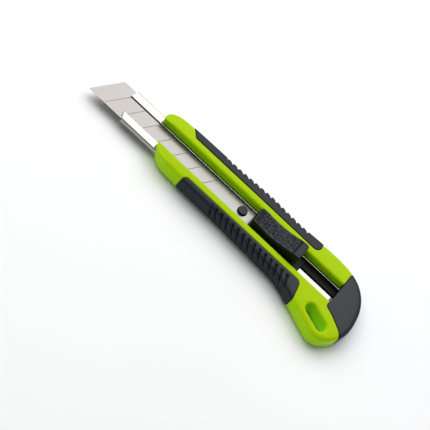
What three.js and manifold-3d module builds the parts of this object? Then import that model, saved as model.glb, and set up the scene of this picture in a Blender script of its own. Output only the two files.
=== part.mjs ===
// Snap-off utility knife with an 18 mm blade, drawn lying on its underside.
//
// Millimetres. +X runs along the knife towards the blade's tip, +Y towards the cutting edge,
// +Z up out of the thumb slot. The origin lies on the flat underside, on the blade's centre line.
// The carriage (blade, blade carrier and lock spring) slides along X, the thumb slider moves a
// little on the carriage to work the lock, and the end cap pulls off towards -X.

import * as THREE from "three";
import { mergeVertices } from "three/addons/utils/BufferGeometryUtils.js";
import Module from "manifold-3d";

const wasm = await Module();
wasm.setup();

// ---- Driving dimensions ------------------------------------------------------------------

const GAP = 0.3; // clearance between neighbouring pieces

const BLADE = { width: 18, thickness: 0.5, top: 5.8, tip: 107, tail: 3 };
const SEGMENT = 10; // length of one snap-off segment
const SEGMENT_LINES = 7;
const EDGE_ANGLE = THREE.MathUtils.degToRad(60); // of the blade's end, from its edge
const BEVEL_WIDTH = 1.6;
const BLADE_HOLE = { x: 10.2, radius: 2.8 };

const SLEEVE = { halfWidth: 9.85, wall: 0.6, low: 3.4, high: 6.7, rear: -56.5 };
const LIP_EDGE = 4.9; // from the centre line to the inner edge of each lip
const SLEEVE_MOUTH = { spineOuter: 88.2, spineInner: 89.6, edgeInner: 86.9, edgeOuter: 84.8 };

const BODY = { height: 11.2, edgeRadius: 3 };
const SLOT = { base: 5.65, spineRim: 5.85, edgeRim: 7.45 }; // half-widths of the thumb slot

const GRIP = { proud: 0.35, depth: 1.5, low: 1.0, top: 11.35 };

const CAP_FRONT = -51.5;
const CAP_POCKET_END = -57;

const CARRIER = { front: 17, rear: -30, halfWidth: 8.6, low: 4.3, top: 5.8 };
const BOSS = { radius: 2.5, top: 7.1 };

const SLIDER = { front: 4, rear: -26.3, halfWidth: 5.2, low: 7.0, neckHalfWidth: 4.5 };
const SLIDER_PLAY = 0.8; // the slider's travel on the carriage, each way

const RACK = { rear: -56.5, front: 62, edge: -0.6, spine: -8.8, low: 4.3, top: 4.95 };
const TOOTH = { pitch: 2, depth: 0.45, inner: -6.2 };
const LEAF = { thickness: 0.3, rear: -23.6, front: -6.4, spine: -8.3, edge: -6.5 };

const LANYARD = { x: -51.4, y: 20.2, length: 15.5, width: 6, direction: [-0.93, 0.367] };
const LANYARD_RECESS = { margin: 1.2, top: 3.2 }; // round the slot's lower end

// ---- Outlines, seen from above -----------------------------------------------------------

// The moulded body and its end cap share one outline, a smooth closed curve.
const OUTLINE_POINTS = [
  [64.1, 5.6],
  [62.6, 9.4],
  [59.6, 12.1],
  [54.6, 13.7],
  [46, 14.2],
  [33, 14.5],
  [20, 14.6],
  [5, 15.2],
  [-12, 16.0],
  [-22.5, 16.7],
  [-31, 19.1],
  [-43.4, 24.3],
  [-50.1, 27.1],
  [-54.4, 28.7],
  [-57.9, 28.6],
  [-61.2, 27.1],
  [-64.6, 23.7],
  [-67.3, 19.0],
  [-68.6, 14.6],
  [-68.8, 10.0],
  [-68.2, 4.7],
  [-66.4, -2.2],
  [-62.9, -8.4],
  [-57.9, -13.0],
  [-52.2, -15.5],
  [-43, -16.8],
  [-30, -16.5],
  [-18, -15.9],
  [-7, -16.1],
  [2, -16.5],
  [13, -16.0],
  [25, -15.4],
  [38, -15.2],
  [52, -14.9],
  [60.4, -14.6],
  [65.4, -13.5],
  [68.3, -10.9],
  [69.4, -7.4],
  [67.0, -1.4],
];
const OUTLINE_STEPS = 130;

// The rubber panels, outwards from their inner edges.
const EDGE_GRIP = [
  [-37.6, 24],
  [-35, 14.2],
  [-34, 12],
  [-31.9, 11.05],
  [37, 11.4],
  [41.2, 12.2],
  [43, 14.4],
  [43, 24],
];
const SPINE_GRIP = [
  [-31.5, -24],
  [-31.5, -13],
  [-30.6, -10.7],
  [-28.2, -9.8],
  [50.8, -9.9],
  [52.1, -10.5],
  [63.6, -24],
];

// The cap takes the rear end on the spine side; the lanyard tail stays part of the body.
const CAP_AREA = [
  [CAP_FRONT, -30],
  [CAP_FRONT, 10.5],
  [-56.5, 12.9],
  [-64.7, 17.4],
  [-67.1, 20.4],
  [-80, 26],
  [-80, -30],
];

// Side view of the thumb pad, X and Z.
const SLIDER_PROFILE = [
  [4, 12.3],
  [3.2, 13.3],
  [0.6, 13.5],
  [-7, 12.7],
  [-16, 14.0],
  [-21.4, 15.5],
  [-22.6, 15.9],
  [-25.4, 16.0],
  [-26.3, 15.2],
];

// ---- Solids ------------------------------------------------------------------------------

function solid(geometry) {
  const bare = geometry.clone();
  bare.deleteAttribute("normal");
  bare.deleteAttribute("uv");
  const merged = mergeVertices(bare, 1e-4);
  return new wasm.Manifold(
    new wasm.Mesh({
      numProp: 3,
      vertProperties: merged.attributes.position.array,
      triVerts: new Uint32Array(merged.index.array),
    }),
  );
}

function bufferGeometry(manifold) {
  const mesh = manifold.getMesh();
  const geometry = new THREE.BufferGeometry();
  geometry.setAttribute("position", new THREE.BufferAttribute(mesh.vertProperties, 3));
  geometry.setIndex(new THREE.BufferAttribute(mesh.triVerts, 1));
  geometry.computeVertexNormals();
  return geometry;
}

const unite = (...solids) => solids.reduce((all, next) => all.add(next));
const cut = (from, ...solids) => solids.reduce((left, next) => left.subtract(next), from);

function block([x0, x1], [y0, y1], [z0, z1]) {
  const box = new THREE.BoxGeometry(x1 - x0, y1 - y0, z1 - z0);
  return solid(box.translate((x0 + x1) / 2, (y0 + y1) / 2, (z0 + z1) / 2));
}

function shapeOf(points) {
  return new THREE.Shape(points.map(([x, y]) => new THREE.Vector2(x, y)));
}

// An outline in X and Y, raised along Z.
function prism(shape, z0, z1) {
  const options = { depth: z1 - z0, bevelEnabled: false, curveSegments: 12 };
  return solid(new THREE.ExtrudeGeometry(shape, options).translate(0, 0, z0));
}

// An outline in X and Z, carried across Y.
function crossBar(points, y0, y1) {
  const options = { depth: y1 - y0, bevelEnabled: false };
  const geometry = new THREE.ExtrudeGeometry(shapeOf(points), options);
  return solid(geometry.rotateX(Math.PI / 2).translate(0, y1, 0));
}

// An outline in Y and Z, carried along X.
function longBar(points, x0, x1) {
  const options = { depth: x1 - x0, bevelEnabled: false };
  const geometry = new THREE.ExtrudeGeometry(shapeOf(points), options);
  return solid(geometry.rotateX(Math.PI / 2).rotateZ(Math.PI / 2).translate(x0, 0, 0));
}

function disc(x, y, radius, z0, z1) {
  const cylinder = new THREE.CylinderGeometry(radius, radius, z1 - z0, 32);
  return solid(cylinder.rotateX(Math.PI / 2).translate(x, y, (z0 + z1) / 2));
}

const outline = shapeOf(
  new THREE.CatmullRomCurve3(
    OUTLINE_POINTS.map(([x, y]) => new THREE.Vector3(x, y, 0)),
    true,
  )
    .getPoints(OUTLINE_STEPS)
    .slice(0, -1)
    .map(({ x, y }) => [x, y]),
);

// The shared outline, drawn in by inset, as a slab with rounded edges.
function pillow(inset, z0, z1, radius) {
  const options = {
    depth: z1 - z0 - 2 * radius,
    bevelThickness: radius,
    bevelSize: radius,
    bevelOffset: -radius - inset,
    bevelSegments: 4,
  };
  return solid(new THREE.ExtrudeGeometry(outline, options).translate(0, 0, z0 + radius));
}

// ---- Handle ------------------------------------------------------------------------------

const FAR = 200; // past the whole knife

function sleevePocket(rear) {
  const halfWidth = SLEEVE.halfWidth + GAP;
  const height = [SLEEVE.low - GAP, SLEEVE.high + GAP];
  return block([rear, FAR], [-halfWidth, halfWidth], height);
}

function thumbSlot() {
  const low = SLEEVE.high;
  const high = BODY.height + GAP;
  const sides = [
    [-SLOT.base, low],
    [SLOT.base, low],
    [SLOT.edgeRim, high],
    [-SLOT.spineRim, high],
  ];
  return longBar(sides, -FAR, FAR);
}

// The slot's shape, wider by margin all round, from below the body up to z = top.
function lanyardSlot(margin, top) {
  const { x, y, length, width, direction } = LANYARD;
  const radius = width / 2 + margin;
  const turn = Math.atan2(direction[1], direction[0]);
  const half = (length - width) / 2;
  const shape = new THREE.Shape();
  shape.absarc(half, 0, radius, -Math.PI / 2, Math.PI / 2);
  shape.absarc(-half, 0, radius, Math.PI / 2, Math.PI * 1.5);
  const options = { depth: top + 1, bevelEnabled: false, curveSegments: 10 };
  return solid(new THREE.ExtrudeGeometry(shape, options).rotateZ(turn).translate(x, y, -1));
}

// The part of a grip panel's area that clears its neighbours by margin.
function gripArea(points, margin) {
  const options = {
    depth: BODY.height + 4 - GRIP.low,
    bevelThickness: margin,
    bevelSize: margin,
    bevelSegments: 1,
    bevelEnabled: margin > 0,
  };
  return solid(new THREE.ExtrudeGeometry(shapeOf(points), options).translate(0, 0, GRIP.low));
}

// What a grip panel wraps round, drawn in by the panel's depth.
function gripBed(clearance) {
  const inset = GRIP.depth - clearance;
  return pillow(inset, inset, BODY.height - inset, 1.5);
}

function gripPanel(points) {
  const skin = pillow(-GRIP.proud, 0, GRIP.top, BODY.edgeRadius);
  return cut(skin, gripBed(GAP / 2)).intersect(gripArea(points, 0));
}

function gripRecess(points) {
  return cut(gripArea(points, GAP), gripBed(-GAP / 2));
}

function bodyShell() {
  return cut(
    pillow(0, 0, BODY.height, BODY.edgeRadius),
    sleevePocket(-FAR),
    thumbSlot(),
    prism(shapeOf(CAP_AREA), -1, BODY.height + 1),
    lanyardSlot(0, BODY.height + 1),
    lanyardSlot(LANYARD_RECESS.margin, LANYARD_RECESS.top),
    gripRecess(EDGE_GRIP),
    gripRecess(SPINE_GRIP),
  );
}

function endCap() {
  const area = prism(shapeOf(CAP_AREA), -1, BODY.height + 1).translate([-GAP, -GAP / 3, 0]);
  const whole = pillow(0, 0, BODY.height, BODY.edgeRadius).intersect(area);
  return cut(whole, sleevePocket(CAP_POCKET_END));
}

// A steel channel whose edges fold in over the blade.
function bladeSleeve() {
  const { halfWidth, wall, low, high, rear } = SLEEVE;
  const mouth = shapeOf([
    [rear, halfWidth],
    [rear, -halfWidth],
    [SLEEVE_MOUTH.spineOuter, -halfWidth],
    [SLEEVE_MOUTH.spineInner, -LIP_EDGE],
    [SLEEVE_MOUTH.edgeInner, LIP_EDGE],
    [SLEEVE_MOUTH.edgeOuter, halfWidth],
  ]);
  const inner = halfWidth - wall;
  return cut(
    prism(mouth, low, high),
    block([-FAR, FAR], [-inner, inner], [low + wall, high - wall]),
    block([-FAR, FAR], [-LIP_EDGE, LIP_EDGE], [high - 2 * wall, high + wall]),
  );
}

// A nylon strip on the sleeve's floor. Its teeth lie under the spine-side lip.
function lockRack() {
  const { rear, front, edge, spine, low, top } = RACK;
  const strip = block([rear, front], [spine, edge], [low, top]);
  const teeth = [];
  for (let x = front - TOOTH.pitch; x > rear + TOOTH.pitch; x -= TOOTH.pitch) {
    const notch = [
      [x - TOOTH.pitch / 4, top + GAP],
      [x, top - TOOTH.depth],
      [x + TOOTH.pitch / 4, top + GAP],
    ];
    teeth.push(crossBar(notch, spine - 1, TOOTH.inner));
  }
  return cut(strip, ...teeth);
}

// ---- Carriage ----------------------------------------------------------------------------

// A score line across the blade at the given distance along its cutting edge.
function scoreLine(x) {
  const slant = BLADE.width / Math.tan(EDGE_ANGLE);
  const width = 0.3;
  const depth = 0.12;
  const ends = shapeOf([
    [x + slant / 18, BLADE.width / 2 + 1],
    [x + slant / 18 - width, BLADE.width / 2 + 1],
    [x - slant - slant / 18 - width, -BLADE.width / 2 - 1],
    [x - slant - slant / 18, -BLADE.width / 2 - 1],
  ]);
  return prism(ends, BLADE.top - depth, BLADE.top + 1);
}

function blade() {
  const { width, thickness, top, tip, tail } = BLADE;
  const half = width / 2;
  const slant = width / Math.tan(EDGE_ANGLE);
  const plate = shapeOf([
    [tail, -half],
    [tip - slant, -half],
    [tip, half],
    [tail, half],
  ]);
  const bevels = [top, top - thickness].map((face) => {
    const middle = top - thickness / 2;
    const land = Math.sign(face - middle) * 0.03;
    return longBar(
      [
        [half - BEVEL_WIDTH, face],
        [half + 1, middle + land],
        [half + 1, face + Math.sign(face - middle)],
        [half - BEVEL_WIDTH, face + Math.sign(face - middle)],
      ],
      -FAR,
      FAR,
    );
  });
  const lines = Array.from({ length: SEGMENT_LINES }, (_, i) => scoreLine(tip - SEGMENT * (i + 1)));
  const hole = disc(BLADE_HOLE.x, 0, BLADE_HOLE.radius, 0, top + 1);
  return cut(prism(plate, top - thickness, top), hole, ...bevels, ...lines);
}

// A runner beside the rack carries the boss, and a wider plate follows the blade's tail.
function bladeCarrier() {
  const { front, rear, halfWidth, low, top } = CARRIER;
  const bladeLow = BLADE.top - BLADE.thickness;
  const runnerTop = bladeLow - GAP;
  const runnerEdge = RACK.edge + 0.4;
  const plateFront = BLADE.tail - GAP;
  const runner = block([rear, front], [runnerEdge, halfWidth], [low, runnerTop]);
  const plate = block([rear, plateFront], [-halfWidth, halfWidth], [bladeLow, top]);
  const web = block([rear, plateFront], [runnerEdge, halfWidth], [runnerTop - 0.1, bladeLow + 0.1]);
  const boss = disc(BLADE_HOLE.x, 0, BOSS.radius, bladeLow, BOSS.top);
  const foot = block(
    [BLADE_HOLE.x - 1.7, BLADE_HOLE.x + 1.7],
    [runnerEdge, 1.7],
    [runnerTop - 0.1, bladeLow + 0.1],
  );
  const leafBay = block(
    [LEAF.rear - GAP, LEAF.front + GAP],
    [-FAR, LEAF.edge + GAP],
    [0, FAR],
  );
  return cut(unite(runner, plate, web, boss, foot), leafBay, stem(SLIDER_PLAY + GAP, GAP));
}

// The slider's stem, which goes down through the carrier.
function stem(alongX, alongY) {
  return block([-19 - alongX, -9 + alongX], [1.5 - alongY, 4.3 + alongY], [CARRIER.low + 0.1 - alongY, 6.6]);
}

// A spring leaf whose bent nose runs along the teeth of the rack.
function lockSpring() {
  const { thickness, rear, front, spine, edge } = LEAF;
  const low = RACK.top + 0.12;
  const flat = 5.4;
  const nose = (rear + front) / 2;
  const under = [
    [rear, flat],
    [nose - 1.2, flat],
    [nose - 0.3, low],
    [nose + 0.3, low],
    [nose + 1.2, flat],
    [front, flat],
  ];
  const over = under.map(([x, z]) => [x, z + thickness]).reverse();
  return crossBar([...under, ...over], spine, edge);
}

function thumbSlider() {
  const { front, rear, halfWidth, low, neckHalfWidth } = SLIDER;
  const pad = crossBar([[rear, low], [front, low], ...SLIDER_PROFILE], -halfWidth, halfWidth);
  const neckLow = CARRIER.top + GAP + 0.1;
  const neck = block([rear + 0.5, 2.4], [-neckHalfWidth, neckHalfWidth], [neckLow, low + 0.1]);
  return unite(pad, neck, stem(0, 0));
}

// ---- Assembly ----------------------------------------------------------------------------

const MATERIALS = {
  green: { color: 0xaedb16, roughness: 0.32, metalness: 0 },
  rubber: { color: 0x2b2f36, roughness: 0.75, metalness: 0 },
  plastic: { color: 0x33363b, roughness: 0.5, metalness: 0 },
  nylon: { color: 0x141414, roughness: 0.55, metalness: 0 },
  steel: { color: 0xcfccc6, roughness: 0.28, metalness: 1 },
  sleeveSteel: { color: 0xdedede, roughness: 0.16, metalness: 1 },
};

const knife = new THREE.Group();

function addPieces(pieces) {
  const group = new THREE.Group();
  for (const [name, manifold, finish] of pieces) {
    const mesh = new THREE.Mesh(
      bufferGeometry(manifold),
      new THREE.MeshStandardMaterial(MATERIALS[finish]),
    );
    mesh.name = name;
    group.add(mesh);
  }
  knife.add(group);
}

addPieces([
  ["body_shell", bodyShell(), "green"],
  ["edge_side_grip", gripPanel(EDGE_GRIP), "rubber"],
  ["spine_side_grip", gripPanel(SPINE_GRIP), "rubber"],
  ["blade_sleeve", bladeSleeve(), "sleeveSteel"],
  ["lock_rack", lockRack(), "nylon"],
]);
addPieces([
  ["blade", blade(), "steel"],
  ["blade_carrier", bladeCarrier(), "plastic"],
  ["lock_spring", lockSpring(), "steel"],
]);
addPieces([["thumb_slider", thumbSlider(), "plastic"]]);
addPieces([["end_cap", endCap(), "plastic"]]);

export default knife;
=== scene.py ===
"""A snap-off utility knife on a pale floor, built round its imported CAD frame.

Shapes are worked out in millimetres. A moulded piece is a signed distance field, negative inside,
whose zero surface becomes its mesh, so that its edges are truly rounded. Sheet metal pieces are
swept or extruded. +X runs towards the blade's tip, +Y towards the cutting edge, +Z up.
"""

import math

import bmesh
import bpy
import numpy as np
from mathutils import Matrix, Vector


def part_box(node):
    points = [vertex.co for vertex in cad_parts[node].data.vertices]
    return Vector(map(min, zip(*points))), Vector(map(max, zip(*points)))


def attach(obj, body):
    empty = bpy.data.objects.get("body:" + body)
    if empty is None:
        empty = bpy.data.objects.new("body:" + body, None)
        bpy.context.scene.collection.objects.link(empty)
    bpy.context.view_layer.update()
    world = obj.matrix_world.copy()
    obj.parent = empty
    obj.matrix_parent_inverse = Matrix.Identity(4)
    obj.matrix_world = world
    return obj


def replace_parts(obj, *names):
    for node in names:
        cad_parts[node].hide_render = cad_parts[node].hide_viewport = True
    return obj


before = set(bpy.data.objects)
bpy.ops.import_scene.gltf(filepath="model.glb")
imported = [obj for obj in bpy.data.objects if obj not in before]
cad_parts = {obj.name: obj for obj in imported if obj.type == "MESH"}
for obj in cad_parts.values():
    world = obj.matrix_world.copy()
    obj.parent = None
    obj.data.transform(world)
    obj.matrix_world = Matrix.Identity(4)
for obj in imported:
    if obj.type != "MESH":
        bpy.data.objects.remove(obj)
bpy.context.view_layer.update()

MM = 0.001  # metres in a millimetre


def cad(node):
    """A CAD node's lowest and highest corners, in millimetres."""
    low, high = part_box(node)
    return Vector(low) / MM, Vector(high) / MM


# ---- Dimensions, in millimetres ------------------------------------------------------------

SLEEVE_LOW, SLEEVE_HIGH = cad("blade_sleeve")
BLADE_LOW, BLADE_HIGH = cad("blade")
BODY_LOW, BODY_HIGH = cad("body_shell")
CARRIER_LOW, CARRIER_HIGH = cad("blade_carrier")
SLIDER_LOW, SLIDER_HIGH = cad("thumb_slider")
CAP_LOW, CAP_HIGH = cad("end_cap")
RACK_LOW, RACK_HIGH = cad("lock_rack")
LEAF_LOW, LEAF_HIGH = cad("lock_spring")

SNUG = 0.05  # clearance between visible neighbours

SHOULDER_Z = 10.6  # where the body's top meets its rounded shoulder
SHOULDER_RADIUS = 2.0
KEEL_RADIUS = 4.0
CRISP_RADII = 0.5, 0.3  # of the shoulder and the slot's rim at the jaws' front ends
CROWN_INSET, CROWN_FADE = 1.6, 3  # where the top's slight crown starts, and how fast it rises
SLOT_BASE = 5.65  # half-width of the thumb slot at the sleeve
SLOT_RIMS = 5.85, 7.45  # and at the rim, on the spine's side and on the cutting edge's side
RIM_RADII = 1.3, 1.5  # of those two rims
JAW_LEAN = 0.25  # how far the jaws lean forward for each millimetre of height
JAW_SLANT = 0.52  # the jaws' fronts lie on one slanting line, x + JAW_SLANT * y = JAW_FRONT
JAW_FRONT = 66
JAW_CRISP = 8  # length over which the jaws' edges become crisper

OUTLINE = [
    (64.1, 5.6), (62.6, 9.4), (59.6, 12.1), (54.6, 13.7), (46, 14.2), (33, 14.5), (20, 14.6),
    (5, 15.2), (-12, 16.0), (-22.5, 16.7), (-31, 19.1), (-43.4, 24.3), (-50.1, 27.1),
    (-54.4, 28.7), (-57.9, 28.6), (-61.2, 27.1), (-64.6, 23.7), (-67.3, 19.0), (-68.6, 14.6),
    (-68.8, 10.0), (-68.2, 4.7), (-66.4, -2.2), (-62.9, -8.4), (-57.9, -13.0), (-52.2, -15.5),
    (-43, -16.8), (-30, -16.5), (-18, -15.9), (-7, -16.1), (2, -16.5), (13, -16.0), (25, -15.4),
    (38, -15.2), (52, -14.9), (60.4, -14.6), (65.4, -13.5), (68.3, -10.9), (69.4, -7.4),
    (67.0, -1.4),
]

# Corners as X, Y and the radius they are rounded to.
EDGE_GRIP = [(-41.6, 40, 0), (-34.2, 11.05, 3.2), (43, 11.45, 2.6), (43, 40, 0)]
SPINE_GRIP = [(-31.5, -40, 0), (-31.5, -9.8, 3.4), (51.6, -9.9, 1.2), (77.1, -40, 0)]
CAP_AREA = [
    (CAP_HIGH.x + 0.2, -40, 0), (CAP_HIGH.x + 0.2, 10.9, 1.6), (-56.5, 12.9, 6),
    (-64.7, 17.4, 8), (-67.1, 20.4, 2), (-90, 30, 0), (-90, -40, 0),
]

GRIP_PROUD = 0.3  # how far the rubber stands out of the body
GRIP_DEPTH = 1.5
GRIP_LOW = 1.0  # height of the panels' lower edges
CREASE = 0.1  # gap round a grip panel, half in the panel and half in the body

RIB_PITCH = 3.65  # of the edge-side grip
RIB_FRONT, RIB_REAR = 24.0, -28.0
RIB_DEPTH = 1.0
RIB_OVERLAP = 0.6  # how far each rib sinks before the next one's cut
RIB_SLANT, RIB_CURVE = 0.30, 0.012  # the cuts run rearward as they go down the side
RIB_EDGE = 12.6  # Y where the flat top ends and the ribs' side begins
SCALLOP_PITCH = 3.6  # of the spine-side grip
SCALLOP_FRONT, SCALLOP_REAR = 33.0, -22.0
SCALLOP_DEPTH = 1.0
SCALLOP_EDGE = 13.2
SCALLOP_STEEP = 0.2  # the share of a valley that is its steep front

LANYARD_FROM = (-55.8, 21.95)  # the middles of the slot's round ends
LANYARD_TO = (-47.0, 18.45)
LANYARD_RADIUS = 3.0
LANYARD_LIP = 1.4  # radius of the slot's upper edge
RECESS_MARGIN = 1.2  # of the recess round the slot's lower end
RECESS_TOP = 3.2


# ---- Distance fields -----------------------------------------------------------------------


def smoothstep(start, end, value):
    """Rises smoothly from 0 at start to 1 at end, which may be the lower of the two."""
    t = np.clip((value - start) / (end - start), 0, 1)
    return t * t * (3 - 2 * t)


def rounded_and(a, b, radius):
    """Inside both a and b, with their shared edge rounded."""
    corner = np.hypot(np.maximum(a + radius, 0), np.maximum(b + radius, 0))
    return np.minimum(-radius, np.maximum(a, b)) + corner


def rounded_or(a, b, radius):
    """Inside a or b, with a fillet where they meet."""
    corner = np.hypot(np.maximum(radius - a, 0), np.maximum(radius - b, 0))
    return np.maximum(radius, np.minimum(a, b)) - corner


def slab(value, low, high):
    """Negative between low and high."""
    return np.maximum(low - value, value - high)


def capsule(x, y, start, end, radius):
    """Distance to a line with round ends, seen from above."""
    ax, ay = start
    dx, dy = end[0] - ax, end[1] - ay
    t = np.clip(((x - ax) * dx + (y - ay) * dy) / (dx * dx + dy * dy), 0, 1)
    return np.hypot(x - ax - t * dx, y - ay - t * dy) - radius


def smooth_outline(points, steps=12):
    """A closed centripetal Catmull-Rom curve through the points."""
    p = np.array(points, float)
    before, after, second = np.roll(p, 1, 0), np.roll(p, -1, 0), np.roll(p, -2, 0)

    def knot(a, b):
        return np.sqrt(np.linalg.norm(b - a, axis=1))[:, None]

    k0, k1, k2 = knot(before, p), knot(p, after), knot(after, second)
    leave = ((p - before) / k0 - (after - before) / (k0 + k1) + (after - p) / k1) * k1
    arrive = ((after - p) / k1 - (second - p) / (k1 + k2) + (second - after) / k2) * k1
    curve = []
    for t in np.arange(steps) / steps:
        curve.append(
            (2 * t**3 - 3 * t**2 + 1) * p
            + (t**3 - 2 * t**2 + t) * leave
            + (3 * t**2 - 2 * t**3) * after
            + (t**3 - t**2) * arrive
        )
    return np.stack(curve, 1).reshape(-1, 2)


def rounded_outline(corners, steps=8):
    """A polygon with its corners rounded to their own radii."""
    points = []
    for i, (x, y, radius) in enumerate(corners):
        here = Vector((x, y))
        to_last = (Vector(corners[i - 1][:2]) - here).normalized()
        to_next = (Vector(corners[(i + 1) % len(corners)][:2]) - here).normalized()
        if not radius:
            points.append(here)
            continue
        half = to_last.angle(to_next) / 2
        centre = here + (to_last + to_next).normalized() * (radius / math.sin(half))
        start = here + to_last * (radius / math.tan(half)) - centre
        end = here + to_next * (radius / math.tan(half)) - centre
        turn = start.angle_signed(end)
        for k in range(steps + 1):
            step = Matrix.Rotation(-turn * k / steps, 2)
            points.append(centre + step @ start)
    return np.array(points)


class Plan:
    """Signed distance to a closed outline seen from above, interpolated on a grid."""

    STEP = 0.4

    def __init__(self, outline, low, high):
        self.low = np.array(low, float) - 4 * self.STEP
        count = np.ceil((np.array(high) - self.low) / self.STEP).astype(int) + 5
        xs = self.low[0] + np.arange(count[0]) * self.STEP
        ys = self.low[1] + np.arange(count[1]) * self.STEP
        x, y = (g.ravel() for g in np.meshgrid(xs, ys, indexing="ij"))
        nearest = np.full(len(x), np.inf)
        crossings = np.zeros(len(x), int)
        for (ax, ay), (bx, by) in zip(outline, np.roll(outline, -1, 0)):
            dx, dy = bx - ax, by - ay
            length = dx * dx + dy * dy
            if length < 1e-12:
                continue
            t = np.clip(((x - ax) * dx + (y - ay) * dy) / length, 0, 1)
            gap = (x - ax - t * dx) ** 2 + (y - ay - t * dy) ** 2
            nearest = np.minimum(nearest, gap)
            if dy:
                spans = (ay > y) != (by > y)
                crossings += spans & (x < ax + (y - ay) * dx / dy)
        sign = np.where(crossings % 2, -1, 1)
        self.grid = (np.sqrt(nearest) * sign).reshape(count)

    def __call__(self, x, y):
        u = np.clip((x - self.low[0]) / self.STEP, 1, self.grid.shape[0] - 3.001)
        v = np.clip((y - self.low[1]) / self.STEP, 1, self.grid.shape[1] - 3.001)
        i, j = np.floor(u).astype(int), np.floor(v).astype(int)
        wu, wv = self.weights(u - i), self.weights(v - j)
        total = 0
        for a in range(4):
            row = sum(wv[b] * self.grid[i + a - 1, j + b - 1] for b in range(4))
            total += wu[a] * row
        return total

    @staticmethod
    def weights(t):
        return (
            t * (-0.5 + t - 0.5 * t * t),
            1 + t * t * (-2.5 + 1.5 * t),
            t * (0.5 + 2 * t - 1.5 * t * t),
            t * t * (-0.5 + 0.5 * t),
        )


PLAN_LOW = (CAP_LOW.x - 3, -20)
PLAN_HIGH = (BODY_HIGH.x + 4, BODY_HIGH.y + 3)
body_plan = Plan(smooth_outline(OUTLINE), PLAN_LOW, PLAN_HIGH)
cap_plan = Plan(rounded_outline(CAP_AREA), PLAN_LOW, (CAP_HIGH.x + 8, PLAN_HIGH[1]))
edge_grip_plan = Plan(rounded_outline(EDGE_GRIP), (-42, 5), (50, PLAN_HIGH[1]))
spine_grip_plan = Plan(rounded_outline(SPINE_GRIP), (-38, -20), (60, -5))


def front_edge(x, y):
    """Falls from 1 to 0 towards the jaws' slanting front ends, where edges are crisper."""
    return smoothstep(JAW_FRONT, JAW_FRONT - JAW_CRISP, x + JAW_SLANT * y)


def moulding(x, y, z):
    """The handle's outer form, which the body, cap and grips share."""
    lean = JAW_LEAN * (z - 8) * smoothstep(48, 60, x)
    side = body_plan(x - lean, y)
    inward = np.minimum(side + CROWN_INSET, 0)
    crown = (BODY_HIGH.z - SHOULDER_Z) * (1 - np.exp(inward / CROWN_FADE))
    top = z - SHOULDER_Z - crown
    crisp = CRISP_RADII[0]
    shoulder = crisp + (SHOULDER_RADIUS - crisp) * front_edge(x, y)
    return rounded_and(rounded_and(side, top, shoulder), -z, KEEL_RADIUS)


def thumb_slot(y, z):
    slope = (np.where(y < 0, *SLOT_RIMS) - SLOT_BASE) / (BODY_HIGH.z - SLEEVE_HIGH.z)
    side = np.abs(y) - SLOT_BASE - slope * (z - SLEEVE_HIGH.z)
    return np.maximum(side / np.hypot(1, slope), SLEEVE_HIGH.z - z)


def sleeve_pocket(y, z):
    side = np.abs(y) - SLEEVE_HIGH.y - SNUG
    return np.maximum(side, slab(z, SLEEVE_LOW.z - SNUG, SLEEVE_HIGH.z + SNUG))


def grip_bed(x, y, z, plan):
    """What is cut out of the body for a grip panel."""
    depth = -moulding(x, y, z) - GRIP_DEPTH - SNUG
    return np.maximum(np.maximum(plan(x, y) - CREASE, depth), GRIP_LOW - SNUG - z)


def body_field(x, y, z):
    crisp = CRISP_RADII[1]
    rim = crisp + (np.where(y < 0, *RIM_RADII) - crisp) * front_edge(x, y)
    field = rounded_and(moulding(x, y, z), -thumb_slot(y, z), rim)
    field = rounded_and(field, SNUG - cap_plan(x, y), 0.4)
    hole = capsule(x, y, LANYARD_FROM, LANYARD_TO, LANYARD_RADIUS)
    recess = np.maximum(hole - RECESS_MARGIN, z - RECESS_TOP)
    field = rounded_and(field, -recess, 0.8)
    field = rounded_and(field, -hole, np.where(z > 7, LANYARD_LIP, 0.5))
    for plan in (edge_grip_plan, spine_grip_plan):
        field = rounded_and(field, -grip_bed(x, y, z, plan), 0.3)
    return np.maximum(field, -sleeve_pocket(y, z))


def cap_field(x, y, z):
    field = rounded_and(moulding(x, y, z), cap_plan(x, y) + SNUG, 0.6)
    pocket = np.maximum(sleeve_pocket(y, z), SLEEVE_LOW.x - 0.5 - x)
    return np.maximum(field, -pocket)


def down_the_side(y, z):
    """How far a point lies from the edge of the flat top, going outwards and down."""
    return np.maximum(np.abs(y) - RIB_EDGE, 0) + np.maximum(SHOULDER_Z - z, 0)


def edge_ribs(x, y, z):
    """Depth of the edge-side grip's relief: overlapping ribs, a comma-shaped cut before each."""
    way = down_the_side(y, z)
    place = (RIB_FRONT - x - RIB_SLANT * way - RIB_CURVE * way**2) / RIB_PITCH
    behind = place - np.floor(place)  # 0 at a cut, rising to 1 at the next one
    near = np.minimum(behind, 1 - behind) * RIB_PITCH
    head = np.exp(-(((way - 1.0) / 0.8) ** 2))
    cut = np.exp(-((near / (0.44 + 0.35 * head)) ** 2))
    reach = smoothstep(0.1, 1.0, way) * smoothstep(9.5, 5.0, way)
    low = smoothstep(0.3, 2.2, way) * smoothstep(0.9, 1.9, z)
    along = x + RIB_SLANT * way
    ends = smoothstep(RIB_FRONT + 0.2, RIB_FRONT - 0.4, along)
    ends = ends * smoothstep(RIB_REAR - 0.4, RIB_REAR + 0.4, along)
    return ends * (RIB_DEPTH * cut * reach + RIB_OVERLAP * behind**2 * low)


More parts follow.
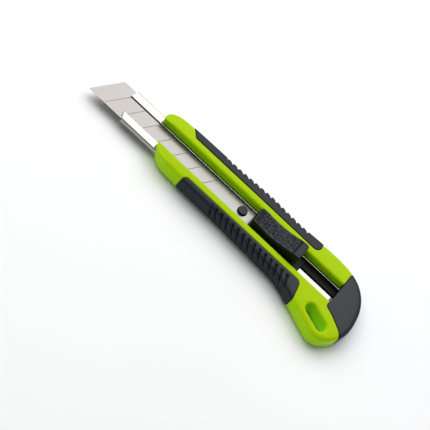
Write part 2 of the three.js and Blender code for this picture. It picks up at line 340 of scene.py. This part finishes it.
def spine_scallops(x, y, z):
    """Depth of the valleys between the spine-side grip's bumps, steep before each bump."""
    way = np.maximum(np.abs(y) - SCALLOP_EDGE, 0) + np.maximum(SHOULDER_Z + 0.2 - z, 0)
    place = (SCALLOP_FRONT - x) / SCALLOP_PITCH
    behind = place - np.floor(place)
    steep = SCALLOP_STEEP
    front, rear = (1 - behind / steep) ** 2, ((behind - steep) / (1 - steep)) ** 2.5
    valley = np.where(behind < steep, front, rear)
    ends = smoothstep(0.0, 1.6, way) * smoothstep(SCALLOP_FRONT + 0.5, SCALLOP_FRONT - 0.3, x)
    ends = ends * smoothstep(SCALLOP_REAR - 0.3, SCALLOP_REAR + 0.3, x)
    return ends * SCALLOP_DEPTH * valley


def grip_field(plan, relief):
    def field(x, y, z):
        form = moulding(x, y, z)
        outside = form - GRIP_PROUD + relief(x, y, z)
        panel = rounded_and(outside, plan(x, y) + CREASE, 0.5)
        panel = rounded_and(panel, GRIP_LOW - z, 0.4)
        return np.maximum(panel, -form - GRIP_DEPTH)

    return field


# ---- Meshes --------------------------------------------------------------------------------

CORNERS = np.array([(i, j, k) for i in (0, 1) for j in (0, 1) for k in (0, 1)])
PAIRS = [(a, b) for a in range(8) for b in range(a, 8)]
EDGES = [(a, b) for a, b in PAIRS if np.abs(CORNERS[a] - CORNERS[b]).sum() == 1]
CHUNK = 400000  # points worked out at a time


def sample(field, points):
    """The field's values at many points, a chunk at a time."""
    parts = [field(*points[i : i + CHUNK].T) for i in range(0, len(points), CHUNK)]
    return np.concatenate(parts)


def corner_views(inside, count):
    """The grid of inside flags seen from each of its cells' eight corners."""
    views = []
    for corner in CORNERS:
        window = tuple(slice(c, n - 1 + c) for c, n in zip(corner, count))
        views.append(inside[window])
    return views


def crossing_points(values, cells):
    """For each cell, the mean of the points where the field changes sign on its edges."""
    at = np.array([values[tuple((cells + corner).T)] for corner in CORNERS])
    total, hits = np.zeros((len(cells), 3)), np.zeros(len(cells))
    for a, b in EDGES:
        crossed = (at[a] < 0) != (at[b] < 0)
        share = np.where(crossed, at[a] / np.where(crossed, at[a] - at[b], 1), 0)
        point = CORNERS[a] + share[:, None] * (CORNERS[b] - CORNERS[a])
        total += np.where(crossed[:, None], point, 0)
        hits += crossed
    return total / hits[:, None]


def net_quads(inside, number):
    """One quad across each grid edge whose ends lie on different sides of the surface."""
    quads = []
    for axis in range(3):
        ahead = [slice(None)] * 3
        behind = [slice(None)] * 3
        ahead[axis], behind[axis] = slice(1, None), slice(None, -1)
        starts, ends = inside[tuple(behind)], inside[tuple(ahead)]
        edges = np.argwhere(starts != ends)
        b, c = np.eye(3, dtype=int)[[(axis + 1) % 3, (axis + 2) % 3]]
        ring = np.stack([number[tuple((edges - step).T)] for step in (b * 0, b, b + c, c)], 1)
        inward = ~starts[tuple(edges.T)]
        ring[inward] = ring[inward][:, ::-1]
        quads.append(ring)
    return np.concatenate(quads)


def zero_surface(field, low, high, cell):
    """The vertices and quads of a field's zero surface, by surface nets."""
    low = np.array(low, float) - 1.5 * cell
    count = np.ceil((np.array(high) - low) / cell).astype(int) + 3
    index = np.indices(count).reshape(3, -1).T
    values = sample(field, low + index * cell).reshape(count)
    inside = values < 0
    corners = corner_views(inside, count)
    full = np.logical_and.reduce(corners)
    mixed = np.logical_or.reduce(corners) & ~full
    cells = np.argwhere(mixed)
    number = np.full(mixed.shape, -1)
    number[tuple(cells.T)] = np.arange(len(cells))
    points = low + (cells + crossing_points(values, cells)) * cell
    return points, net_quads(inside, number)


def settle(field, points, cell, rounds=4):
    """Moves points onto the field's zero surface."""
    reach = 0.08
    for _ in range(rounds):
        value = sample(field, points)
        slope = np.empty_like(points)
        for axis in range(3):
            step = np.eye(3)[axis] * reach
            slope[:, axis] = sample(field, points + step) - sample(field, points - step)
        slope /= 2 * reach
        steep = np.maximum((slope**2).sum(1), 0.25)
        move = -slope * (value / steep)[:, None]
        far = np.maximum(np.linalg.norm(move, axis=1) / (0.4 * cell), 1)
        points = points + move / far[:, None]
    return points


def add_extra(name, mesh, body, material):
    """Adds a mesh to the scene as a piece that rides on a body."""
    piece = bpy.data.objects.new(name + "_visual", mesh)
    bpy.context.scene.collection.objects.link(piece)
    mesh.materials.clear()
    mesh.materials.append(material)
    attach(piece, body)
    return piece


def mesh_from(name, points, faces, smooth=True):
    mesh = bpy.data.meshes.new(name)
    mesh.from_pydata((np.asarray(points) * MM).tolist(), [], [list(map(int, f)) for f in faces])
    mesh.polygons.foreach_set("use_smooth", [smooth] * len(mesh.polygons))
    mesh.update()
    return mesh


def face_outward(mesh):
    """Winds a closed mesh's faces so that they all look out."""
    solid = bmesh.new()
    solid.from_mesh(mesh)
    bmesh.ops.recalc_face_normals(solid, faces=solid.faces)
    solid.to_mesh(mesh)
    solid.free()


def moulded(name, field, low, high, cell):
    points, quads = zero_surface(field, low, high, cell)
    return mesh_from(name, settle(field, points, cell), quads)


def evaluated(name, mesh, add_modifiers):
    """The mesh after modifiers that add_modifiers puts on it."""
    holder = bpy.data.objects.new(name + "_holder", mesh)
    bpy.context.scene.collection.objects.link(holder)
    add_modifiers(holder)
    graph = bpy.context.evaluated_depsgraph_get()
    done = bpy.data.meshes.new_from_object(holder.evaluated_get(graph))
    bpy.data.objects.remove(holder)
    done.name = name
    return done


def bevelled(name, mesh, width, segments=2, angle=30):
    def add(holder):
        bevel = holder.modifiers.new("edges", "BEVEL")
        bevel.width = width * MM
        bevel.segments = segments
        bevel.limit_method = "ANGLE"
        bevel.angle_limit = math.radians(angle)
        bevel.harden_normals = True

    return evaluated(name, mesh, add)


# ---- Materials -----------------------------------------------------------------------------


class Finish:
    """A material made of nodes, around one principled shader."""

    def __init__(self, name, **sockets):
        self.material = bpy.data.materials.new(name)
        self.material.use_nodes = True
        self.nodes = self.material.node_tree.nodes
        self.links = self.material.node_tree.links
        self.shader = self.nodes["Principled BSDF"]
        self.place = self.nodes.new("ShaderNodeTexCoord").outputs["Object"]
        for socket, value in sockets.items():
            self.shader.inputs[socket.replace("_", " ")].default_value = value

    def noise(self, scale, detail=3, stretch=(1, 1, 1), roughness=0.5):
        mapping = self.nodes.new("ShaderNodeMapping")
        mapping.inputs["Scale"].default_value = stretch
        noise = self.nodes.new("ShaderNodeTexNoise")
        noise.inputs["Scale"].default_value = scale
        noise.inputs["Detail"].default_value = detail
        noise.inputs["Roughness"].default_value = roughness
        self.links.new(self.place, mapping.inputs["Vector"])
        self.links.new(mapping.outputs["Vector"], noise.inputs["Vector"])
        return noise.outputs["Fac"]

    def upward(self, noise, share):
        """Near 1 on faces that look up, near 0 on sides, broken up by a share of noise: the mask
        for painted light and painted shade.
        """
        normal = self.nodes.new("ShaderNodeNewGeometry").outputs["Normal"]
        split = self.nodes.new("ShaderNodeSeparateXYZ")
        self.links.new(normal, split.inputs["Vector"])
        add = self.nodes.new("ShaderNodeMath")
        add.operation = "MULTIPLY_ADD"
        add.inputs[1].default_value = share
        self.links.new(noise, add.inputs[0])
        self.links.new(split.outputs["Z"], add.inputs[2])
        return add.outputs["Value"]

    def ramp(self, value, *stops):
        ramp = self.nodes.new("ShaderNodeValToRGB")
        while len(ramp.color_ramp.elements) < len(stops):
            ramp.color_ramp.elements.new(0.5)
        for element, (position, colour) in zip(ramp.color_ramp.elements, stops):
            element.position = position
            element.color = (*colour, 1)
        self.links.new(value, ramp.inputs["Fac"])
        return ramp.outputs["Color"]

    def spread(self, value, low, high):
        spread = self.nodes.new("ShaderNodeMapRange")
        spread.inputs["To Min"].default_value = low
        spread.inputs["To Max"].default_value = high
        self.links.new(value, spread.inputs["Value"])
        return spread.outputs["Result"]

    def colour(self, value):
        self.links.new(value, self.shader.inputs["Base Color"])

    def roughness(self, value):
        self.links.new(value, self.shader.inputs["Roughness"])

    def bump(self, value, distance, strength=1.0):
        bump = self.nodes.new("ShaderNodeBump")
        bump.inputs["Strength"].default_value = strength
        bump.inputs["Distance"].default_value = distance * MM
        self.links.new(value, bump.inputs["Height"])
        before = self.shader.inputs["Normal"].links
        if before:
            self.links.new(before[0].from_socket, bump.inputs["Normal"])
        self.links.new(bump.outputs["Normal"], self.shader.inputs["Normal"])


def green_plastic():
    """Lime plastic, its sides painted brighter and greener than its top: painted light on the
    sides.
    """
    tint = (0.8, 1, 0.2, 1)
    finish = Finish("green_plastic", IOR=1.3, Specular_IOR_Level=0.3, Specular_Tint=tint)
    up = finish.upward(finish.noise(60, 2), 0.12)
    # Painted light: faces that look sideways get the brighter, greener colour, faces that look up
    # the darker one.
    finish.colour(finish.ramp(up, (0.35, (0.46, 0.84, 0.002)), (1.0, (0.385, 0.58, 0.002))))
    finish.roughness(finish.spread(finish.noise(900, 4), 0.30, 0.42))
    finish.bump(finish.noise(3500, 2), 0.012, 0.5)
    finish.bump(finish.noise(220, 2), 0.03, 0.25)
    return finish.material


def dark_plastic(name, side, top, rough, gloss, grain=2600, depth=0.02):
    """Moulded plastic, its sides painted dark as painted shade and its upper faces paler as
    painted light.
    """
    finish = Finish(name, Specular_IOR_Level=gloss)
    up = finish.upward(finish.noise(260, 4), 0.12)
    # Painted shade and painted light: the side colour on faces that look sideways, the paler top
    # colour on faces that look up.
    finish.colour(finish.ramp(up, (0.72, side), (0.97, top)))
    finish.roughness(finish.spread(finish.noise(700, 4), rough - 0.06, rough + 0.08))
    finish.bump(finish.noise(grain, 3), depth, 0.6)
    return finish.material


def ground_steel():
    finish = Finish("blade_steel", Metallic=1.0, Anisotropic=0.4)
    streaks = finish.noise(140, 5, (1, 28, 1), 0.7)
    finish.colour(finish.ramp(streaks, (0.3, (0.252, 0.237, 0.225)), (0.7, (0.292, 0.278, 0.268))))
    finish.roughness(finish.spread(streaks, 0.24, 0.36))
    finish.bump(finish.noise(260, 4, (1, 40, 1)), 0.004, 0.4)
    return finish.material


def folded_steel():
    finish = Finish("sleeve_steel", Metallic=1.0)
    streaks = finish.noise(90, 4, (1, 20, 8), 0.6)
    finish.colour(finish.ramp(streaks, (0.3, (0.36, 0.348, 0.322)), (0.7, (0.44, 0.428, 0.40))))
    finish.roughness(finish.spread(streaks, 0.10, 0.20))
    finish.bump(finish.noise(120, 3, (1, 12, 6)), 0.004, 0.3)
    return finish.material


def spring_steel():
    finish = Finish("spring_steel", Metallic=1.0)
    streaks = finish.noise(300, 4, (1, 14, 1))
    finish.colour(finish.ramp(streaks, (0.3, (0.42, 0.42, 0.43)), (0.7, (0.58, 0.58, 0.58))))
    finish.roughness(finish.spread(streaks, 0.22, 0.38))
    return finish.material


MATERIALS = {
    "green_plastic": green_plastic(),
    # Grip rubber: bluish dark sides as painted shade, paler top as painted light.
    "grip_rubber": dark_plastic(
        "grip_rubber", (0.013, 0.018, 0.026), (0.022, 0.024, 0.030), 0.52, 0.25, 2200, 0.03
    ),
    "sleeve_steel": folded_steel(),
    "blade_steel": ground_steel(),
    "spring_steel": spring_steel(),
    # Black nylon: top painted a shade paler than the sides, painted light.
    "black_nylon": dark_plastic("black_nylon", (0.002,) * 3, (0.004,) * 3, 0.40, 0.15),
    # Nylon of the carrier's boss: top painted much paler than the sides, painted light.
    "boss_nylon_painted_top": dark_plastic("boss_nylon_painted_top", (0.002,) * 3, (0.022,) * 3, 0.45, 0.25, 1800, 0.04),
    # Slider plastic: near-black sides as painted shade, paler top as painted light.
    "slider_plastic": dark_plastic(
        "slider_plastic", (0.002, 0.002, 0.002), (0.025, 0.028, 0.033), 0.40, 0.18
    ),
    # Cap plastic: dark sides as painted shade, paler top as painted light.
    "cap_plastic": dark_plastic(
        "cap_plastic", (0.003, 0.004, 0.006), (0.017, 0.022, 0.027), 0.30, 0.22
    ),
}


def add_piece(name, mesh, body, slot):
    """Adds a mesh that stands for the CAD node of the same name."""
    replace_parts(add_extra(name, mesh, body, MATERIALS[slot]), name)


# ---- Moulded pieces ------------------------------------------------------------------------

BODY_CELL = 0.45  # spacing of the grid on which each piece's field is sampled
CAP_CELL = 0.4
GRIP_CELL = 0.32
SMALL_CELL = 0.24
BOSS_CELL = 0.2


def body_shell():
    low, high = (BODY_LOW.x, -18, 0), (BODY_HIGH.x + 2, BODY_HIGH.y, 11.6)
    mesh = moulded("body_shell", body_field, low, high, BODY_CELL)
    add_piece("body_shell", mesh, "handle", "green_plastic")


def end_cap():
    mesh = moulded("end_cap", cap_field, CAP_LOW, CAP_HIGH, CAP_CELL)
    add_piece("end_cap", mesh, "cap", "cap_plastic")


def grips():
    for name, plan, relief in (
        ("edge_side_grip", edge_grip_plan, edge_ribs),
        ("spine_side_grip", spine_grip_plan, spine_scallops),
    ):
        low, high = cad(name)
        mesh = moulded(name, grip_field(plan, relief), low, high, GRIP_CELL)
        add_piece(name, mesh, "handle", "grip_rubber")


# ---- Thumb slider --------------------------------------------------------------------------

PAD_LOW = SLEEVE_HIGH.z + SNUG
PAD_TOP = [  # X and height of the pad's top, from the front
    (4.4, 12.2), (3.4, 13.2), (2.0, 13.45), (0.6, 13.4), (-3.5, 12.85), (-7, 12.7), (-11.5, 13.1),
    (-16, 14.0), (-19, 14.8), (-21.2, 15.5), (-22.8, 15.85), (-24.5, 15.95), (-26.6, 15.8),
]
PAD_CORNER = 1.5
PIT_SPACING = 2.2
PIT_AREA = (-20.6, -0.9)  # X range of the pebbled part
PIT_REACH = 4.1  # half-width of the pebbled part
PIT_SHIFT = 0.35  # how far a pit may stray from its place, each way
PIT_RADII = 0.5, 0.75
PIT_DEPTHS = 0.22, 0.45
BLOCK_MIDDLE = -24.3  # X of the pad's raised rear block
NECK_FRONT, NECK_HALF_WIDTH = 2.4, 4.5  # of the part that goes down through the slot
GROOVES = [  # across the pad: X, half-width, depth and half-length
    (1.25, 0.28, 0.6, 3.9), (2.4, 0.28, 0.6, 3.9), (0.05, 0.3, 0.4, 4.4), (-21.9, 0.35, 0.7, 4.9),
]


def pad_height():
    """The pad's top as a smooth curve of X, read off by interpolation."""
    x, z = np.array(PAD_TOP[::-1]).T
    slope = np.gradient(z, x)
    fine = np.linspace(x[0], x[-1], 400)
    i = np.clip(np.searchsorted(x, fine, side="right") - 1, 0, len(x) - 2)
    span = x[i + 1] - x[i]
    t = (fine - x[i]) / span
    height = (
        (2 * t**3 - 3 * t**2 + 1) * z[i]
        + (t**3 - 2 * t**2 + t) * slope[i] * span
        + (3 * t**2 - 2 * t**3) * z[i + 1]
        + (t**3 - t**2) * slope[i + 1] * span
    )
    return lambda value: np.interp(value, fine, height)


pad_top = pad_height()


def pebbles():
    """Middles, radii and depths of the pad's pits, scattered round a staggered grid."""
    random = np.random.default_rng(7)
    rows = np.arange(PIT_AREA[0] + 0.5, PIT_AREA[1], PIT_SPACING * 0.87)
    pits = []
    for number, x in enumerate(rows):
        shift = PIT_SPACING / 2 * (number % 2)
        for y in np.arange(-PIT_REACH + shift, PIT_REACH + 0.1, PIT_SPACING):
            dx, dy = random.uniform(-PIT_SHIFT, PIT_SHIFT, 2)
            pits.append((x + dx, y + dy, random.uniform(*PIT_RADII), random.uniform(*PIT_DEPTHS)))
    return pits


PITS = pebbles()


def pebbling(x, y):
    """How far the pad's surface lies below its smooth top: pits with faint raised rims."""
    depth = np.zeros(np.broadcast(x, y).shape)
    for px, py, radius, deep in PITS:
        away = ((x - px) ** 2 + (y - py) ** 2) / radius**2
        near = away < 9
        ring = away[near]
        depth[near] += deep * np.exp(-ring) - 0.14 * np.exp(-((np.sqrt(ring) - 1.55) ** 2) * 6)
    return depth


def cross_groove(x, y, middle, half_width, depth, reach):
    ends = smoothstep(reach + 0.3, reach - 0.3, np.abs(y))
    return depth * ends * np.exp(-(((x - middle) / half_width) ** 2))


def inset_line(x, y):
    """A fine rectangular groove round the middle of the pad's raised rear block."""
    along, across = np.abs(x - BLOCK_MIDDLE) - 1.0, np.abs(y) - 3.6
    edge = np.hypot(np.maximum(along, 0), np.maximum(across, 0))
    edge = edge + np.minimum(np.maximum(along, across), 0)
    return 0.16 * np.exp(-((edge / 0.16) ** 2))


def slider_field(x, y, z):
    low, high = SLIDER_LOW, SLIDER_HIGH
    middle = (low.x + high.x) / 2
    along = np.abs(x - middle) - (high.x - low.x) / 2
    plan = rounded_and(along, np.abs(y) - high.y, PAD_CORNER)
    relief = pebbling(x, y)
    for groove in GROOVES:
        relief = relief + cross_groove(x, y, *groove)
    relief = relief + inset_line(x, y)
    top = (z - pad_top(x) + relief) * 0.97
    pad = rounded_and(rounded_and(plan, top, 0.5), PAD_LOW - z, 0.2)
    neck = np.maximum(np.abs(y) - NECK_HALF_WIDTH, slab(x, low.x + 0.5, NECK_FRONT))
    neck = np.maximum(neck, slab(z, CARRIER_HIGH.z - 1.0, PAD_LOW + 0.5))
    return rounded_or(pad, neck, 0.05)


def thumb_slider():
    low = (SLIDER_LOW.x, SLIDER_LOW.y, 5.9)
    mesh = moulded("thumb_slider", slider_field, low, SLIDER_HIGH, SMALL_CELL)
    add_piece("thumb_slider", mesh, "thumb", "slider_plastic")


# ---- Blade carrier -------------------------------------------------------------------------

BOSS = (10.2, 0.0)  # its middle, seen from above
BOSS_RADIUS = 2.5
BOSS_SUNK = 0.4  # how far the boss reaches down past the blade's underside
PLATE_TOP = BLADE_HIGH.z
RACK_CLEARANCE = 0.4  # between the carrier and the rack's edge
LEAF_CLEARANCE = 0.3  # round the leaf spring
LEAF_BAY = (LEAF_LOW.x - LEAF_CLEARANCE, LEAF_HIGH.x + LEAF_CLEARANCE)


def carrier_field(x, y, z):
    low, high = CARRIER_LOW, CARRIER_HIGH
    beside_rack = slab(y, RACK_HIGH.y + RACK_CLEARANCE, high.y)
    runner = np.maximum(slab(x, low.x, high.x), beside_rack)
    runner = np.maximum(runner, slab(z, low.z, BLADE_LOW.z - SNUG))
    plate = np.maximum(slab(x, low.x, BLADE_LOW.x - SNUG), slab(y, low.y, high.y))
    plate = rounded_and(plate, slab(z, BLADE_LOW.z, PLATE_TOP), 0.2)
    web = np.maximum(slab(x, low.x, BLADE_LOW.x - SNUG), beside_rack)
    web = np.maximum(web, slab(z, low.z, PLATE_TOP - 0.3))
    field = np.minimum(np.minimum(runner, plate), web)
    bay = np.maximum(slab(x, *LEAF_BAY), y - LEAF_HIGH.y - LEAF_CLEARANCE)
    return np.maximum(field, -bay)


def boss_field(x, y, z):
    side = np.hypot(x - BOSS[0], y - BOSS[1]) - BOSS_RADIUS
    return rounded_and(side, slab(z, BLADE_LOW.z - BOSS_SUNK, CARRIER_HIGH.z), 0.25)


def blade_carrier():
    plate_corner = (*CARRIER_HIGH.xy, PLATE_TOP)
    mesh = moulded("blade_carrier", carrier_field, CARRIER_LOW, plate_corner, SMALL_CELL)
    add_piece("blade_carrier", mesh, "carriage", "black_nylon")
    reach = BOSS_RADIUS + 0.2
    low = (BOSS[0] - reach, BOSS[1] - reach, BLADE_LOW.z - 0.6)
    high = (BOSS[0] + reach, BOSS[1] + reach, CARRIER_HIGH.z)
    mesh = moulded("carrier_boss", boss_field, low, high, BOSS_CELL)
    # The boss's nylon has its top painted paler than its sides: painted light.
    add_extra("carrier_boss", mesh, "carriage", MATERIALS["boss_nylon_painted_top"])


# ---- Steel and nylon strips ----------------------------------------------------------------

LIP_EDGE = 4.9
WALL = 0.6
BEND = 0.8  # outer radius of the sleeve's folds
LIP_CHAMFER = 0.2  # how much thinner the lips get over their last stretch
MOUTH = [(-9.85, 88.2), (-4.9, 89.6), (4.9, 86.9), (9.85, 84.8)]  # Y and the sleeve's front there


def sleeve_section():
    """The folded strip's middle line: Y, Z, the way across it in degrees, and its thickness."""
    half = SLEEVE_HIGH.y - WALL / 2
    low, high = SLEEVE_LOW.z + WALL / 2, SLEEVE_HIGH.z - WALL / 2
    radius = BEND - WALL / 2
    lip = [(LIP_EDGE, high - LIP_CHAMFER / 2, WALL - LIP_CHAMFER), (LIP_EDGE + 0.85, high, WALL)]
    line = [(y, z, 90, wall) for y, z, wall in lip]
    for cy, cz, start in (
        (half - radius, high - radius, 90),
        (half - radius, low + radius, 0),
        (-half + radius, low + radius, -90),
        (-half + radius, high - radius, -180),
    ):
        for k in range(7):
            turn = start - 15 * k
            angle = math.radians(turn)
            line.append((cy + radius * math.cos(angle), cz + radius * math.sin(angle), turn, WALL))
    return line + [(-y, z, -270, wall) for y, z, wall in reversed(lip)]


def blade_sleeve():
    points = []
    for y, z, turn, wall in sleeve_section():
        across = (math.cos(math.radians(turn)), math.sin(math.radians(turn)))
        front = np.interp(y, *zip(*MOUTH))
        for x in (SLEEVE_LOW.x, front):
            for side in (0.5, -0.5):
                points.append((x, y + side * wall * across[0], z + side * wall * across[1]))
    faces = []
    last = len(points) - 4
    for k in range(0, last, 4):
        rear_out, rear_in, front_out, front_in = range(k, k + 4)
        faces.append((rear_out, rear_out + 4, front_out + 4, front_out))
        faces.append((rear_in, front_in, front_in + 4, rear_in + 4))
        faces.append((rear_out, rear_in, rear_in + 4, rear_out + 4))
        faces.append((front_out, front_out + 4, front_in + 4, front_in))
    faces.append((0, 2, 3, 1))
    faces.append((last, last + 1, last + 3, last + 2))
    mesh = bevelled("blade_sleeve", mesh_from("strip", points, faces), 0.05, 2, 50)
    add_piece("blade_sleeve", mesh, "handle", "sleeve_steel")


def extruded(name, outline, y0, y1, width=0.06):
    """An outline in X and Z, carried across Y, with its edges eased."""
    count = len(outline)
    points = [(x, y, z) for y in (y0, y1) for x, z in outline]
    faces = [tuple(range(count)), tuple(reversed(range(count, 2 * count)))]
    faces += [(k, k + count, (k + 1) % count + count, (k + 1) % count) for k in range(count)]
    mesh = mesh_from(name + "_bar", points, faces, False)
    face_outward(mesh)
    return bevelled(name, mesh, width)


TOOTH_PITCH = 2
TOOTH_DEPTH = 0.45
TEETH_EDGE = -6.2  # Y where the teeth end
LEAF_THICKNESS = 0.3


def lock_rack():
    low, high = RACK_LOW, RACK_HIGH
    plain = [(low.x, low.z), (high.x, low.z), (high.x, high.z), (low.x, high.z)]
    toothed = [(low.x, low.z), (high.x, low.z), (high.x, high.z)]
    for x in np.arange(high.x - TOOTH_PITCH, low.x + TOOTH_PITCH, -TOOTH_PITCH):
        toothed.append((x + TOOTH_PITCH / 4, high.z))
        toothed.append((x, high.z - TOOTH_DEPTH))
        toothed.append((x - TOOTH_PITCH / 4, high.z))
    toothed.append((low.x, high.z))
    strip = extruded("lock_rack", plain, TEETH_EDGE, high.y, 0.12)
    add_piece("lock_rack", strip, "handle", "black_nylon")
    teeth = extruded("lock_rack_teeth", toothed, low.y, TEETH_EDGE, 0.04)
    add_extra("lock_rack_teeth", teeth, "handle", MATERIALS["black_nylon"])


def lock_spring():
    low, high = LEAF_LOW, LEAF_HIGH
    nose = (low.x + high.x) / 2
    flat = high.z - LEAF_THICKNESS
    under = [(low.x, flat), (nose - 1.2, flat), (nose - 0.5, low.z + 0.1), (nose, low.z)]
    under += [(nose + 0.5, low.z + 0.1), (nose + 1.2, flat), (high.x, flat)]
    over = [(x, z + LEAF_THICKNESS) for x, z in reversed(under)]
    mesh = extruded("lock_spring", under + over, low.y, high.y, 0.04)
    add_piece("lock_spring", mesh, "carriage", "spring_steel")


# ---- Blade ---------------------------------------------------------------------------------

SEGMENT = 10
SEGMENT_LINES = 7
SLANT = (BLADE_HIGH.y - BLADE_LOW.y) / math.tan(math.radians(60))  # of a score line, along X
BEVEL_WIDTH = 1.6
EDGE_THICKNESS = 0.05
BACK_EASE, BACK_DROP = 0.12, 0.08  # width and depth of the bevel along the blade's back
SCORE_HALF_WIDTH = 0.17
SCORE_DEPTH = 0.06
HOLE_RADIUS = 2.8


def blade_columns():
    """Places along the cutting edge where the blade's mesh has a slanting line, with its depth."""
    columns = []
    for k in range(SEGMENT_LINES, 0, -1):
        x = BLADE_HIGH.x - SEGMENT * k
        columns += [(x - SCORE_HALF_WIDTH, 0), (x, SCORE_DEPTH), (x + SCORE_HALF_WIDTH, 0)]
    return columns + [(BLADE_HIGH.x, 0)]


BLADE_MIDDLE = (BLADE_LOW.z + BLADE_HIGH.z) / 2


def blade_points():
    """The plate's points, column by column, and the number of columns and rows."""
    low, high = BLADE_LOW, BLADE_HIGH
    rows = [  # Y, and half the thickness there
        (high.y, EDGE_THICKNESS / 2),
        (high.y - BEVEL_WIDTH, (high.z - low.z) / 2),
        (low.y + BACK_EASE, (high.z - low.z) / 2),
        (low.y, (high.z - low.z) / 2 - BACK_DROP),
    ]
    columns = [(None, 0), *blade_columns()]
    points = []
    for place, score in columns:
        for y, half in rows:
            back = (high.y - y) / (high.y - low.y) * SLANT
            x = low.x if place is None else place - back
            cut = min(score, half)
            points += [(x, y, BLADE_MIDDLE + half - cut), (x, y, BLADE_MIDDLE - half)]
    return points, len(columns), len(rows)


def blade_faces(columns, rows):
    across = 2 * rows
    faces = []
    for c in range(columns - 1):
        for r in range(rows - 1):
            a, b = c * across + 2 * r, (c + 1) * across + 2 * r
            faces.append((a, a + 2, b + 2, b))
            faces.append((a + 1, b + 1, b + 3, a + 3))
        a, b = c * across, (c + 1) * across
        faces.append((a, b, b + 1, a + 1))
        a, b = a + across - 2, b + across - 2
        faces.append((a, a + 1, b + 1, b))
    for c, flip in ((0, 1), (columns - 1, -1)):
        for r in range(rows - 1):
            a = c * across + 2 * r
            faces.append((a, a + 1, a + 3, a + 2)[::flip])
    return faces


def hole_punch():
    """A round bar through the blade, where its hole is."""
    mesh = bpy.data.meshes.new("punch")
    radius = HOLE_RADIUS * MM
    depth = 4 * MM
    bar = bmesh.new()
    bmesh.ops.create_cone(
        bar, cap_ends=True, segments=64, radius1=radius, radius2=radius, depth=depth
    )
    bar.to_mesh(mesh)
    bar.free()
    punch = bpy.data.objects.new("punch", mesh)
    punch.location = Vector((*BOSS, BLADE_MIDDLE)) * MM
    bpy.context.scene.collection.objects.link(punch)
    return punch


def blade():
    points, columns, rows = blade_points()
    plate = mesh_from("plate", points, blade_faces(columns, rows), False)
    face_outward(plate)
    punch = hole_punch()

    def pierce(holder):
        hole = holder.modifiers.new("hole", "BOOLEAN")
        hole.operation = "DIFFERENCE"
        hole.object = punch
        hole.solver = "EXACT"

    mesh = evaluated("blade", plate, pierce)
    bpy.data.objects.remove(punch)
    add_piece("blade", mesh, "carriage", "blade_steel")


# ---- Stage ---------------------------------------------------------------------------------

AZIMUTH, ELEVATION, ROLL = -181.6, 53.2, 44.4  # degrees
DISTANCE = 1232  # from the camera to its target
TARGET = (18.92, 13.2, 5.8)  # the point in the middle of the picture
LENS, SENSOR = 209.3, 36


def camera():
    azimuth, elevation, roll = (math.radians(a) for a in (AZIMUTH, ELEVATION, ROLL))
    back = Vector(
        (
            math.sin(azimuth) * math.cos(elevation),
            -math.cos(azimuth) * math.cos(elevation),
            math.sin(elevation),
        )
    )
    level = Vector((0, 0, 1)).cross(back).normalized()
    upright = back.cross(level)
    right = level * math.cos(roll) + upright * math.sin(roll)
    up = upright * math.cos(roll) - level * math.sin(roll)
    data = bpy.data.cameras.new("camera")
    data.lens, data.sensor_width = LENS, SENSOR
    data.clip_start, data.clip_end = 0.05, 20
    view = bpy.data.objects.new("camera", data)
    bpy.context.scene.collection.objects.link(view)
    turn = Matrix((right, up, back)).transposed().to_4x4()
    view.matrix_world = Matrix.Translation((Vector(TARGET) + back * DISTANCE) * MM) @ turn
    bpy.context.scene.camera = view


def area_light(name, place, aim, size, power, colour=(1, 1, 1)):
    """A rectangular lamp; place, aim and size are in metres."""
    data = bpy.data.lights.new(name, "AREA")
    data.shape = "RECTANGLE"
    data.size, data.size_y = size
    data.energy = power
    data.color = colour
    light = bpy.data.objects.new(name, data)
    light.location = place
    light.rotation_euler = (Vector(place) - Vector(aim)).to_track_quat("Z", "Y").to_euler()
    bpy.context.scene.collection.objects.link(light)


FLOOR_REACH = 3000
FLOOR_DROP = 0.00005  # metres below the knife, so that the two faces don't coincide
WORLD_COLOUR = (0.96, 0.98, 1, 1)
WORLD_STRENGTH = 0.15


def stage():
    corners = [(-1, -1), (1, -1), (1, 1), (-1, 1)]
    points = [(x * FLOOR_REACH, y * FLOOR_REACH, 0) for x, y in corners]
    floor = mesh_from("floor", points, [(0, 1, 2, 3)])
    finish = Finish("floor", Specular_IOR_Level=0.2, Roughness=0.7)
    finish.colour(finish.ramp(finish.noise(6, 2), (0.3, (0.95,) * 3), (0.7, (0.97,) * 3)))
    floor.materials.append(finish.material)
    ground = bpy.data.objects.new("floor", floor)
    ground.location.z = -FLOOR_DROP
    bpy.context.scene.collection.objects.link(ground)

    world = bpy.data.worlds.new("studio")
    world.use_nodes = True
    sky = world.node_tree.nodes["Background"]
    sky.inputs["Color"].default_value = WORLD_COLOUR
    sky.inputs["Strength"].default_value = WORLD_STRENGTH
    bpy.context.scene.world = world
    bpy.context.scene.view_settings.view_transform = "Standard"
    area_light("key", (0.35, -0.55, 1.15), (0, 0, 0), (2.4, 1.5), 29)
    area_light("edge strip", (0.55, 0.62, 1.0), (0, 0.02, 0), (0.7, 0.05), 0.7)
    area_light("rear strip", (-0.92, -0.5, 0.31), (-0.06, 0, 0), (0.5, 0.1), 0.9, (0.7, 0.86, 1))


camera()
stage()
body_shell()
end_cap()
grips()
thumb_slider()
blade_carrier()
blade_sleeve()
lock_rack()
lock_spring()
blade()
